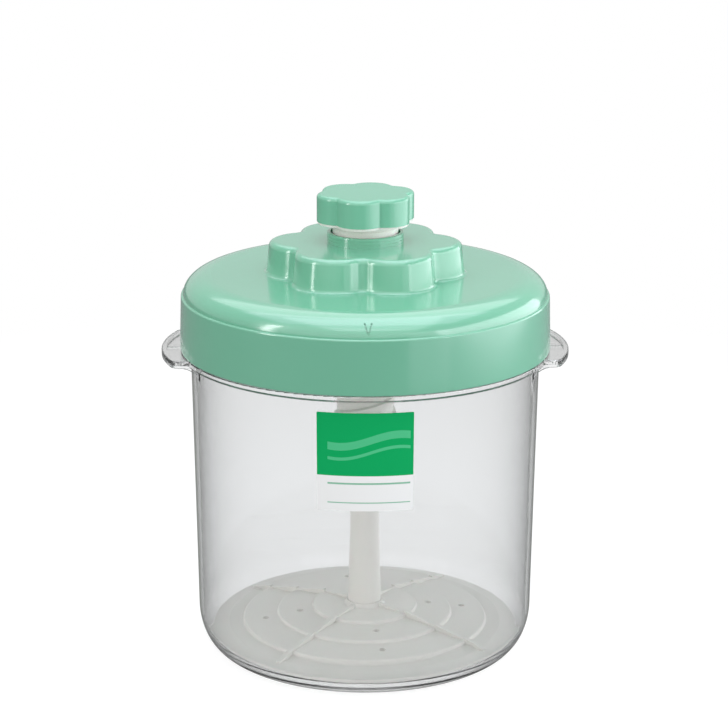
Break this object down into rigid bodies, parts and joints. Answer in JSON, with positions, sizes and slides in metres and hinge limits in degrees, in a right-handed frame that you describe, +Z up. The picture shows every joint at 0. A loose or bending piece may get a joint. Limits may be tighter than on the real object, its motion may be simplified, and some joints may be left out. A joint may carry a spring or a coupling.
{
  "type": "pickle press",
  "caption": "Clear round container with two ears and a lid whose knob screws a sprung, stepped press plate down onto vegetables.",
  "frame": {"origin": "centre of the container's foot, on the surface it stands on", "axes": "+Z up along the screw, -Y towards the front with the label, the two ears on the X axis"},
  "size_m": [0.2342, 0.213, 0.2697],
  "materials": {
    "clear_body": "clear, polished",
    "label_paper": "satin film",
    "mint_lid": "satin moulded",
    "mint_knob": "satin moulded",
    "white_screw": "satin moulded",
    "white_bush": "satin moulded",
    "washer_plastic": "satin moulded",
    "spring_steel": "drawn wire",
    "white_stem": "satin moulded",
    "piston_plastic": "satin moulded",
    "screw_steel": "bright",
    "white_plate": "satin moulded"
  },
  "bodies": {
    "container_body": {"container": "clear_body", "label": "label_paper"},
    "lid_body": {"lid": "mint_lid"},
    "spring_seat": {"thrust_washer": "washer_plastic", "press_spring": "spring_steel"},
    "screw_body": {"screw_barrel": "white_screw", "knob_cap": "mint_knob", "guide_bush": "white_bush"},
    "plunger_body": {"press_stem": "white_stem", "stem_piston": "piston_plastic", "piston_screw": "screw_steel", "press_plate": "white_plate", "plate_screw": "screw_steel"}
  },
  "joints": [
    {"name": "lid_lift", "type": "slide", "parent": "container_body", "child": "lid_body", "axis": [0, 0, 1], "range_m": [0, 0.215]},
    {"name": "screw_feed", "type": "slide", "parent": "lid_body", "child": "spring_seat", "axis": [0, 0, 1], "range_m": [0, 0.105]},
    {"name": "knob_turn", "type": "hinge", "parent": "spring_seat", "child": "screw_body", "pos_m": [0, 0, 0.25], "axis": [0, 0, 1], "range_deg": [0, 1576]},
    {"name": "press_stroke", "type": "slide", "parent": "spring_seat", "child": "plunger_body", "axis": [0, 0, 1], "range_m": [0, 0.027], "stiffness_N_per_m": 1500, "springref_m": -0.012, "deforming": ["press_spring"]}
  ],
  "couplings": [
    {"joint": "knob_turn", "follows": "screw_feed", "rad_per_m": 261.8}
  ]
}
